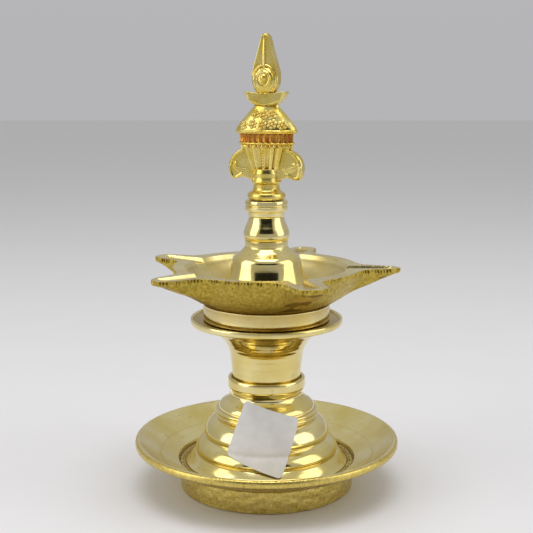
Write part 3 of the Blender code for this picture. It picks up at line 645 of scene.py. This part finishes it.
def stemOutline():
    size = stemSizes
    collar, groove, half = size["collar"], size["collarGroove"], size["grooveHalf"]
    points = [(size["boreHigh"], size["top"], 0.3), (collar - 0.1, size["top"], 0.35),
              (collar, groove + half, 0.15), (collar - size["grooveDepth"], groove, 0.12),
              (collar, groove - half, 0.15), (collar - 0.05, 31.2, 0.3), (7.7, 30.9, 0.2)]
    # the neck and the bulb, the ring under it, then the bell
    points += flowing([(7.6, 30.4), (7.55, 29.3), (7.4, 28.8)], 3)
    points += flowing([(7.3, 28.6), (7.65, 27.2), (8.4, 25.3), (9.15, 23.5), (9.55, 21.8), (9.55, 20.4),
                       (9.3, 19.4), (8.75, 18.9)])
    points += [(8.65, 18.75, 0.1), (9.0, 18.6, 0.15), (9.0, 16.3, 0.2), (9.15, 16.0)]
    points += flowing([(9.3, 15.8), (10.4, 14.5), (12.2, 13.1), (13.5, 12.1), (14.3, 10.8), (14.6, 9.4),
                       (15.3, 6.4), (16.3, 3.7), (17.6, 1.5), (18.3, 0.75)], 6)
    points += [(18.75, 0.6, 0.12), (size["bell"], 0.0, 0.15), (16.4, 0.0, 0.3)]
    points += flowing([(14.6, 2.6), (12.9, 6.2), (11.4, 9.4), (9.9, 10.6)], 4)
    points += [(size["boss"], 10.7, 0.4), (size["boss"], 0.0, 0.3), (size["boreLow"], 0.0, 0.3),
               (size["boreLow"], size["boreStep"]), (size["boreHigh"], size["boreStep"])]
    return raisedBy(eased(points), seats["upper_stem"])


stemMesh = turnedMesh("bell_stem", stemOutline(), stemSizes["steps"])
markHollows(stemMesh, stemSizes)
settle(stemMesh, "bell_stem", [polishedBrass], "upper_stem", "upper_stem")


# the finial: a two-sided relief, built from overlapping shapes and fused into one casting

finialSizes = {
    "turn": -20.0, "flat": 0.46, "flutes": 16, "fluteDepth": 0.95, "fluteLow": 10.8, "fluteHigh": 22.6,
    "ribs": 26, "ribDepth": 0.8, "ribLow": 23.5, "ribHigh": 26.95, "steps": 144,
    "bandLow": 23.6, "bandHigh": 26.85, "bandRadius": 11.9,
    "leafThick": 4.6, "leafEase": 1.1, "crescentThick": 6.4, "crescentEase": 1.2,
    "flameThick": 5.2, "flameEase": 0.9, "voxel": 0.17, "hollowDepth": 0.22, "hollowPasses": 16,
}
# outlines of (out, height): the turned ones run down from the axis and back to it, the flat halves up
potOutline = [(0.0, 39.0), (5.2, 38.9), (5.4, 38.0), (6.5, 36.8), (8.9, 34.3), (11.1, 31.8), (12.6, 29.7),
              (13.2, 28.2), (13.1, 27.5), (12.7, 27.1), (10.9, 26.9), (10.7, 25.3), (10.8, 23.7),
              (11.9, 23.4), (11.8, 22.7), (10.9, 22.3), (10.2, 20.6), (8.9, 17.2), (7.6, 13.9),
              (6.5, 11.4), (5.6, 10.6), (5.2, 9.6), (0.0, 9.0)]
neckOutline = [(0.0, 13.0), (5.1, 12.6), (5.6, 10.8), (5.5, 9.0), (5.9, 8.0), (6.2, 7.4), (5.9, 6.8),
               (5.4, 6.4), (5.4, 4.6), (5.9, 3.7), (6.9, 3.1), (7.6, 2.6), (7.9, 1.8), (7.9, 0.9),
               (7.5, 0.25), (7.1, 0.0), (3.3, 0.0), (3.3, 7.5), (0.0, 7.5)]
leafHalf = [(0.0, 7.6), (5.4, 7.5), (6.6, 8.3), (7.9, 9.5), (9.2, 10.0), (10.6, 9.7), (11.8, 8.9),
            (13.0, 8.2), (14.2, 8.1), (15.2, 8.8), (15.9, 10.4), (16.1, 12.6), (16.0, 14.8), (15.4, 16.6),
            (14.2, 18.3), (12.6, 19.6), (11.0, 20.3), (9.0, 20.6), (0.0, 20.6)]
crescentHalf = [(0.0, 38.3), (3.6, 38.4), (5.4, 39.1), (6.6, 40.3), (8.0, 41.8), (8.9, 43.5),
                (8.95, 44.1), (8.3, 44.0), (6.2, 43.9), (4.0, 43.5), (0.0, 43.2)]
flameHalf = [(0.0, 42.1), (1.6, 42.35), (3.2, 43.2), (4.6, 44.9), (5.4, 46.8), (5.7, 48.8), (5.5, 51.1),
             (4.8, 54.0), (3.9, 57.2), (2.9, 60.6), (2.0, 63.8), (1.35, 66.2), (1.0, 67.05), (0.0, 67.2)]
# radii of the relief's beads and cords
reliefSizes = {
    "bead": (0.62, 0.5, 0.62), "rib": (0.45, 0.4, 0.45), "flower": (0.62, 0.6, 0.62),
    "petal": (0.5, 0.5, 0.5), "petalRing": 1.35, "potCord": 0.35, "bossCord": 0.45, "ridge": 0.7,
    "roll": 0.62, "rim": 0.5, "eye": (0.7, 0.6, 0.7), "vein": 0.3,
}
# the places of the small flowers on the pot's dome
flowers = [(-8.2, 30.6), (-4.2, 31.0), (0.0, 30.7), (4.2, 31.0), (8.2, 30.6), (-3.6, 34.9), (0.2, 34.6),
           (3.8, 34.9)]


def addTurned(work, outline, shape=None):
    # an outline from the axis round to the axis again
    steps, rings = finialSizes["steps"], []
    for radius, height in outline:
        if radius == 0.0:
            rings.append([work.verts.new((0, 0, height))])
            continue
        ring = []
        for turn in range(steps):
            angle = math.tau * turn / steps
            out, up = shape(radius, height, angle) if shape else (radius, height)
            ring.append(work.verts.new((out * math.cos(angle), out * math.sin(angle), up)))
        rings.append(ring)
    for upper, lower in zip(rings, rings[1:]):
        for i in range(steps):
            j = (i + 1) % steps
            corners = [upper[i % len(upper)], lower[i % len(lower)],
                       lower[j % len(lower)], upper[j % len(upper)]]
            work.faces.new(list(dict.fromkeys(corners)))


def addPlate(work, half, thickness, ease):
    # a flat outline in the finial's plane, mirrored about its axis, with rounded edges
    outline = half + [(-x, z) for x, z in reversed(half) if x > 0]
    front = [work.verts.new((x, -thickness / 2, z)) for x, z in outline]
    back = [work.verts.new((x, thickness / 2, z)) for x, z in outline]
    work.faces.new(front)
    work.faces.new(list(reversed(back)))
    for i in range(len(outline)):
        j = (i + 1) % len(outline)
        work.faces.new((front[j], front[i], back[i], back[j]))
    edges = [work.edges.get((ring[i], ring[i - 1])) for ring in (front, back) for i in range(len(ring))]
    bmesh.ops.bevel(work, geom=edges, offset=ease, segments=4, profile=0.5, affect="EDGES")


def ballShape():
    # the corners and faces of a unit ball, made once
    work = bmesh.new()
    bmesh.ops.create_icosphere(work, subdivisions=2, radius=1.0)
    corners = np.array([vert.co[:] for vert in work.verts])
    faces = np.array([[vert.index for vert in face.verts] for face in work.faces])
    work.free()
    return corners, faces


ballCorners, ballFaces = ballShape()
balls = []  # (place, radii) of every small ball that goes into the relief


def addBall(place, radii):
    balls.append((place, radii))


def addCord(points, thick):
    # a raised line, as balls close together
    line = [Vector(point) for point in points]
    for start, end in zip(line, line[1:]):
        count = max(1, math.ceil((end - start).length / (thick * 0.6)))
        for step in range(count):
            addBall(start.lerp(end, step / count), (thick, thick, thick))
    addBall(line[-1], (thick, thick, thick))


def potRadius(height):
    # the pot's plain radius at a height, between its outline's points
    for (radiusA, high), (radiusB, low) in zip(potOutline, potOutline[1:]):
        if low <= height <= high and high > low:
            return between(radiusA, radiusB, (high - height) / (high - low))
    return 0.0


def potFace(x, height, side, lift):
    # the point on the pot's front or back skin at this place
    share = min(0.999, abs(x) / potRadius(height))
    deep = finialSizes["flat"] * potRadius(height) * math.sqrt(1 - share ** 2)
    return (x, side * (deep + lift), height)


def potShape(radius, height, angle):
    # flutes round the basket below the band, and ribs round the band
    size = finialSizes
    if size["fluteLow"] < height < size["fluteHigh"]:
        fade = min(1.0, (height - size["fluteLow"]) / 2, (size["fluteHigh"] - height) / 0.6)
        wave = math.cos(size["flutes"] * angle)
        radius += size["fluteDepth"] * fade * (abs(wave) ** 0.6 * math.copysign(1, wave))
    if size["ribLow"] < height < size["ribHigh"]:
        radius += size["ribDepth"] * (0.5 + 0.5 * math.cos(size["ribs"] * angle))
    return radius, height


def makeFinialMesh():
    size = finialSizes
    pot = bmesh.new()
    dense = []
    for (radiusA, high), (radiusB, low) in zip(potOutline, potOutline[1:]):
        pieces = max(1, round(math.hypot(radiusA - radiusB, high - low) / 0.6))
        if radiusA == 0.0 or radiusB == 0.0:
            pieces = 1
        for share in (k / pieces for k in range(pieces)):
            dense.append((between(radiusA, radiusB, share), between(high, low, share)))
    dense.append(potOutline[-1])
    addTurned(pot, dense, potShape)
    bmesh.ops.scale(pot, vec=(1, size["flat"], 1), verts=pot.verts)
    addTurned(pot, neckOutline)
    addPlate(pot, leafHalf, size["leafThick"], size["leafEase"])
    addPlate(pot, crescentHalf, size["crescentThick"], size["crescentEase"])
    addPlate(pot, flameHalf, size["flameThick"], size["flameEase"])
    for side in (-1, 1):
        addFlame(side)
        addPotRelief(side)
        addLeafRelief(side)
    return fuse(pot, size["voxel"])


def addFlame(side):
    # a domed boss with a ring and a dot, under a low ridge that runs to the tip
    face = side * finialSizes["flameThick"] / 2
    addBall((0, face, 48.6), (4.6, 2.0, 5.4))
    addBall((0, face + side * 1.55, 49.6), (1.4, 1.0, 1.5))
    for across, tall, lift in ((2.6, 2.9, 1.4), (4.6, 5.5, 0.0)):
        ring = [(across * math.cos(turn), face + side * lift, 49.0 + tall * math.sin(turn))
                for turn in np.linspace(0, math.tau, 48)]
        addCord(ring, reliefSizes["bossCord"])
    ridge = [(0, face - side * sink, z) for sink, z in ((0.35, 55.0), (0.35, 59.0), (0.6, 65.5))]
    addCord(ridge, reliefSizes["ridge"])


def addPotRelief(side):
    # a row of beads under the band, a middle row up the basket, small flowers, and two cords
    size = reliefSizes
    for x in np.linspace(-10.2, 10.2, 13):
        addBall(potFace(x, 22.0, side, 0.15), size["bead"])
    for z in np.arange(13.0, 21.4, 1.1):
        addBall(potFace(0.0, z, side, 0.5), size["rib"])
    out = size["petalRing"]
    for x, z in flowers:
        addBall(potFace(x, z, side, 0.15), size["flower"])
        for petal in range(6):
            turn = math.tau * (petal + 0.3) / 6
            spot = potFace(x + out * math.cos(turn), z + out * math.sin(turn), side, 0.05)
            addBall(spot, size["petal"])
    for z in (28.1, 23.1):
        reach = potRadius(z) * 0.98
        addCord([potFace(x, z, side, 0.05) for x in np.linspace(-reach, reach, 41)], size["potCord"])


def addLeafRelief(side):
    # a rolled lower edge, an eye and a few veins on each leaf
    face = side * finialSizes["leafThick"] / 2
    for mirror in (-1, 1):
        roll = [(mirror * x * 0.95, face - side * 0.25, z + 0.8) for x, z in leafHalf[5:12]]
        addCord(roll, reliefSizes["roll"])
        rim = [(mirror * (x - 1.2), face - side * 0.25, z) for x, z in leafHalf[11:17]]
        addCord(rim, reliefSizes["rim"])
        addBall((mirror * 12.8, face, 14.6), reliefSizes["eye"])
        for bend in (0.0, 1.6, 3.2):
            vein = []
            for turn in np.linspace(0.15, 1.3, 14):
                x = mirror * (8.2 + 6.6 * math.sin(turn) - bend * 0.35)
                z = 11.0 + bend * 0.5 + (5.4 - bend) * (1 - math.cos(turn))
                vein.append((x, face - side * 0.15, z))
            addCord(vein, reliefSizes["vein"])


def fuse(work, voxel):
    # one closed skin round everything, lightly smoothed like a tumbled casting
    bmesh.ops.recalc_face_normals(work, faces=work.faces)
    work.verts.index_update()
    verts = [vert.co[:] for vert in work.verts]
    faces = [[vert.index for vert in face.verts] for face in work.faces]
    work.free()
    for place, radii in balls:
        faces += (ballFaces + len(verts)).tolist()
        verts += (ballCorners * radii + np.array(place)).tolist()
    mesh = bpy.data.meshes.new("flame_finial_parts")
    mesh.from_pydata(verts, [], faces)
    parts = addObject("flame_finial_parts", mesh)
    remesh = parts.modifiers.new("fuse", "REMESH")
    remesh.mode = "VOXEL"
    remesh.voxel_size = voxel
    soften = parts.modifiers.new("soften", "SMOOTH")
    soften.factor = 0.5
    soften.iterations = 2
    bpy.context.view_layer.update()
    shaped = parts.evaluated_get(bpy.context.evaluated_depsgraph_get())
    fused = bpy.data.meshes.new_from_object(shaped)
    bpy.data.objects.remove(parts)
    fused.name = "flame_finial"
    return fused


finialMesh = makeFinialMesh()
finialTurn = Matrix.Rotation(math.radians(finialSizes["turn"]), 4, "Z")
finialPlace = Matrix.Translation((0, 0, seats["finial"] * mm)) @ finialTurn
finialMesh.transform(finialPlace @ Matrix.Scale(mm, 4))
markHollows(finialMesh, finialSizes)


def onBand(radius, height):
    low, high = seats["finial"] + finialSizes["bandLow"], seats["finial"] + finialSizes["bandHigh"]
    return low < height < high and radius < finialSizes["bandRadius"]


paintFaces(finialMesh, 1, onBand)
settle(finialMesh, "flame_finial", [satinBrass, bandBrass], "finial", "finial", 60)


# the threaded studs between the sections

studSizes = {
    "pitch": {"lower_stud": 1.5, "bowl_stud": 1.5, "stem_stud": 1.25, "finial_stud": 1.0},
    "depth": 0.58, "flank": 1.3, "crest": 0.15, "chamfer": 0.9, "chamferSlope": 1.1,
    "steps": 64, "rowsPerTurn": 12, "hollowDepth": 0.4, "hollowPasses": 10,
}


def studMesh(node, pitch):
    # the thread is cut into the stud's own box, depth being a share of the pitch
    size = studSizes
    low, high = boxes[node]
    radius, bottom, top = (high.x - low.x) / 2 / mm, low.z / mm, high.z / mm
    steps, rows = size["steps"], round((top - bottom) / pitch * size["rowsPerTurn"])
    mesh = bpy.data.meshes.new(node + "_thread")
    verts = []
    for row in range(rows + 1):
        height = between(bottom, top, row / rows)
        end = min(height - bottom, top - height)
        for turn in range(steps):
            angle = math.tau * turn / steps
            phase = (height / pitch - turn / steps) % 1.0
            flank = min(1.0, max(0.0, abs(2 * phase - 1) * size["flank"] - size["crest"]))
            out = radius - size["depth"] * pitch * flank
            out = min(out, radius - size["chamfer"] + end * size["chamferSlope"])
            verts.append((out * math.cos(angle) * mm, out * math.sin(angle) * mm, height * mm))
    faces = []
    for row in range(rows):
        for turn in range(steps):
            here, beside = row * steps + turn, row * steps + (turn + 1) % steps
            faces.append((here, beside, beside + steps, here + steps))
    for row, order in ((0, -1), (rows, 1)):
        middle = len(verts)
        verts.append((0, 0, between(bottom, top, row / rows) * mm))
        for turn in range(steps):
            faces.append((row * steps + turn, row * steps + (turn + 1) % steps, middle)[::order])
    mesh.from_pydata(verts, [], faces)
    mesh.update()
    return mesh


for node, pitch in studSizes["pitch"].items():
    thread = studMesh(node, pitch)
    markHollows(thread, studSizes)
    settle(thread, node + "_thread", [threadBrass], node, node, 50)


# the blank paper label wrapped on the front of the cone

labelSizes = {
    "half": 12.5, "corner": 1.8, "thick": 0.2, "turn": 20.0, "shift": -1.5, "gap": 0.4,
    "coneTop": 16.4, "coneTopHeight": 43.0, "slope": 0.5635,
    "foldHeight": 20.9, "fold": 0.55, "foldWidth": 1.1, "wrinkle": 0.10, "steps": 56,
}
paperLook = {
    "pale": (0.78, 0.77, 0.77, 1), "shaded": (0.68, 0.67, 0.67, 1), "smooth": 0.48, "rough": 0.62,
    "coat": 0.18, "coatRough": 0.25, "mottleSize": 6.0, "fibreSize": 0.35, "wrinkleSize": 3.2,
}


def paperFinish():
    look = paperLook
    material, tree, shader, place = newFinish("labelPaper")
    shader.inputs["Coat Weight"].default_value = look["coat"]
    shader.inputs["Coat Roughness"].default_value = look["coatRough"]
    mottle = speckle(tree, place, look["mottleSize"], 4.0)
    fibres = speckle(tree, place, look["fibreSize"], 5.0, 0.7)
    mixed = sums(tree, "ADD", sums(tree, "MULTIPLY", mottle, 0.7), sums(tree, "MULTIPLY", fibres, 0.3))
    shade = ramp(tree, mixed, 0.35, 0.7)
    put(tree, shader.inputs["Base Color"], blendColours(tree, shade, look["pale"], look["shaded"]))
    put(tree, shader.inputs["Roughness"], ramp(tree, fibres, 0.3, 0.7, look["smooth"], look["rough"]))
    wrinkles = speckle(tree, place, look["wrinkleSize"], 2.0)
    pressed = bumpOf(tree, wrinkles, 0.35, 0.12)
    put(tree, shader.inputs["Normal"], bumpOf(tree, fibres, 0.3, 0.02, pressed))
    return material


def labelPoint(u, v, lift):
    # corners rounded, turned a little, then wrapped round the cone and pressed in at a fold
    size = labelSizes
    half, corner = size["half"], size["corner"]
    over = [max(abs(n) - (half - corner), 0.0) for n in (u, v)]
    if min(over) > 0:
        shrink = max(over) / math.hypot(*over)
        u = math.copysign(half - corner + over[0] * shrink, u)
        v = math.copysign(half - corner + over[1] * shrink, v)
    flat = Matrix.Rotation(math.radians(-size["turn"]), 2) @ Vector((u, v))
    low, high = boxes["price_sticker"]
    height = (low.z + high.z) / 2 / mm + flat.y / math.hypot(1.0, size["slope"])
    radius = size["coneTop"] + (size["coneTopHeight"] - height) * size["slope"] + size["gap"] + lift
    radius -= size["fold"] * math.exp(-((height - size["foldHeight"]) / size["foldWidth"]) ** 2)
    radius += size["wrinkle"] * noise.noise(Vector((u, v, 0)) * 0.22) - size["wrinkle"] / 2
    angle = math.radians(-90) + (flat.x + size["shift"]) / radius
    return (radius * math.cos(angle) * mm, radius * math.sin(angle) * mm, height * mm)


def labelMesh():
    size = labelSizes
    steps = size["steps"]
    row = steps + 1
    spots = [between(-size["half"], size["half"], i / steps) for i in range(row)]
    verts = [labelPoint(u, v, lift) for lift in (0.0, size["thick"]) for v in spots for u in spots]
    faces = []
    for side, order in ((0, -1), (row * row, 1)):
        for i in range(steps):
            for j in range(steps):
                here = side + i * row + j
                faces.append((here, here + 1, here + 1 + row, here + row)[::order])
    border = list(range(steps)) + [i * row + steps for i in range(steps)]
    border += [steps * row + steps - j for j in range(steps)] + [(steps - i) * row for i in range(steps)]
    for here, there in zip(border, border[1:] + border[:1]):
        faces.append((here, there, there + row * row, here + row * row))
    mesh = bpy.data.meshes.new("paper_label")
    mesh.from_pydata(verts, [], faces)
    mesh.update()
    return mesh


settle(labelMesh(), "paper_label", [paperFinish()], "base", "price_sticker", 50)


# pale floor, soft light and the camera

# metres and degrees: half the floor's side, its drop below the foot, then the camera's place and tilt
stageSizes = {
    "floor": 4.0, "floorDrop": 0.0002, "height": 0.1725, "back": 0.4478, "down": 9.89, "lens": 73.26,
    "aim": 0.09, "floorPale": (0.80, 0.79, 0.80, 1), "floorShade": (0.77, 0.76, 0.78, 1), "floorRough": 0.6,
}
# how bright the room is, its colours low and high, and where its dim opening starts and ends
roomLook = {
    "strength": 0.62, "low": (0.74, 0.73, 0.76, 1), "high": (0.95, 0.95, 0.93, 1),
    "opening": (0.02, 0.02, 0.02, 1), "side": (37, 41), "bottom": (14, 16), "top": (38, 41),
}


def paleFloor():
    mesh = bpy.data.meshes.new("floor")
    half, drop = stageSizes["floor"], -stageSizes["floorDrop"]
    corners = [(x * half, y * half, drop) for x, y in ((-1, -1), (1, -1), (1, 1), (-1, 1))]
    mesh.from_pydata(corners, [], [(0, 1, 2, 3)])
    material, tree, shader, place = newFinish("paleFloor")
    mottle = speckle(tree, place, 40.0, 4.0)
    colour = blendColours(tree, mottle, stageSizes["floorPale"], stageSizes["floorShade"])
    put(tree, shader.inputs["Base Color"], colour)
    shader.inputs["Roughness"].default_value = stageSizes["floorRough"]
    mesh.materials.append(material)
    addObject("floor", mesh)


def softLight(name, place, size, power):
    # a white softbox turned towards the middle of the lamp
    light = bpy.data.lights.new(name, "AREA")
    light.shape = "RECTANGLE"
    light.size, light.size_y = size
    light.energy = power
    lamp = addObject(name, light)
    lamp.location = place
    aim = Vector((0, 0, stageSizes["aim"])) - Vector(place)
    lamp.rotation_euler = aim.to_track_quat("-Z", "Y").to_euler()


def paleRoom():
    # an even pale room with one dim opening high in front, which polished metal shows as a dark window
    look = roomLook
    world = bpy.data.worlds.new("paleRoom")
    bpy.context.scene.world = world
    world.use_nodes = True
    tree = world.node_tree
    background = tree.nodes["Background"]
    split = tree.nodes.new("ShaderNodeSeparateXYZ")
    put(tree, split.inputs[0], tree.nodes.new("ShaderNodeTexCoord").outputs["Generated"])
    x, y, z = split.outputs
    side = sums(tree, "ABSOLUTE", sums(tree, "ARCTAN2", x, sums(tree, "MULTIPLY", y, -1.0)))
    rise = sums(tree, "ARCSINE", z)
    across = ramp(tree, side, *map(math.radians, look["side"]), 1.0, 0.0)
    above = ramp(tree, rise, *map(math.radians, look["bottom"]))
    below = ramp(tree, rise, *map(math.radians, look["top"]), 1.0, 0.0)
    opening = sums(tree, "MULTIPLY", across, sums(tree, "MULTIPLY", above, below))
    sky = blendColours(tree, ramp(tree, z, -0.1, 0.9), look["low"], look["high"])
    put(tree, background.inputs["Color"], blendColours(tree, opening, sky, look["opening"]))
    background.inputs["Strength"].default_value = look["strength"]


paleFloor()
paleRoom()
softLight("overheadSoftbox", (0.0, -0.12, 0.9), (0.6, 0.5), 3.0)
softLight("leftSoftbox", (-0.9, -0.3, 0.5), (0.7, 0.9), 3.4)
softLight("rightSoftbox", (0.9, -0.2, 0.5), (0.7, 0.9), 2.6)

camera = bpy.data.cameras.new("camera")
camera.sensor_width = 36.0
camera.lens = stageSizes["lens"]
view = addObject("camera", camera)
view.location = (0.0, -stageSizes["back"], stageSizes["height"])
view.rotation_euler = (math.radians(90 - stageSizes["down"]), 0.0, 0.0)
bpy.context.scene.camera = view
bpy.context.scene.view_settings.view_transform = "Standard"
print("floor, light and camera set")
